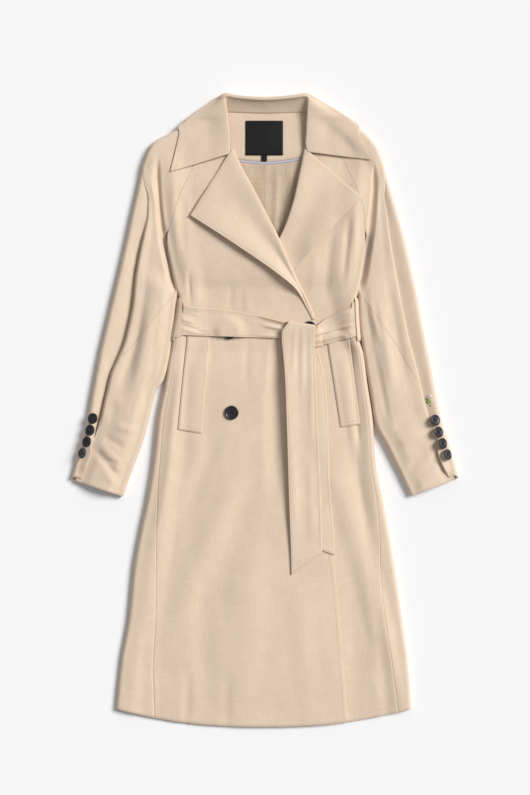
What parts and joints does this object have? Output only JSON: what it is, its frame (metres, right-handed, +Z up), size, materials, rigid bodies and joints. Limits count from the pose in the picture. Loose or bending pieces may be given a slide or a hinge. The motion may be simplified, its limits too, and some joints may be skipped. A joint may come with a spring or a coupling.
{
  "type": "trench coat",
  "caption": "Long double-breasted trench coat laid flat, with raglan sleeves, wide notched lapels, a tied belt, welt pockets and buttoned cuffs.",
  "frame": {"origin": "on the surface the coat lies on, below the middle of its length and width", "axes": "+X to the wearer's left sleeve, +Y from hem to collar, +Z up from the surface, out of the front"},
  "size_m": [0.7179, 1.1731, 0.0258],
  "materials": {
    "gabardine": "matt beige cotton gabardine, fine twill",
    "lining": "smooth beige lining, soft sheen",
    "binding": "lilac-grey satin binding",
    "label": "black woven satin, bare",
    "button": "black, half gloss"
  },
  "bodies": {
    "root": {"back": "gabardine", "front_right": "gabardine", "front_left": "gabardine", "sleeve_right_back": "gabardine", "sleeve_right_front": "gabardine", "sleeve_left_back": "gabardine", "sleeve_left_front": "gabardine", "lapel_right": "gabardine", "lapel_left": "gabardine", "collar": "gabardine", "collar_stand": "gabardine", "back_neck_facing": "gabardine", "neck_binding": "binding", "back_lining": "lining", "neck_label": "label", "size_tab": "label", "pocket_welt_right": "gabardine", "pocket_welt_left": "gabardine", "belt_band": "gabardine", "belt_tail_under": "gabardine", "belt_tail_front": "gabardine", "belt_knot": "gabardine", "belt_loop_right": "gabardine", "belt_loop_left": "gabardine", "button_front_1": "button", "button_front_2": "button", "button_front_3": "button", "button_front_4": "button", "button_cuff_right_1": "button", "button_cuff_right_2": "button", "button_cuff_right_3": "button", "button_cuff_right_4": "button", "button_cuff_left_1": "button", "button_cuff_left_2": "button", "button_cuff_left_3": "button", "button_cuff_left_4": "button"}
  },
  "joints": []
}
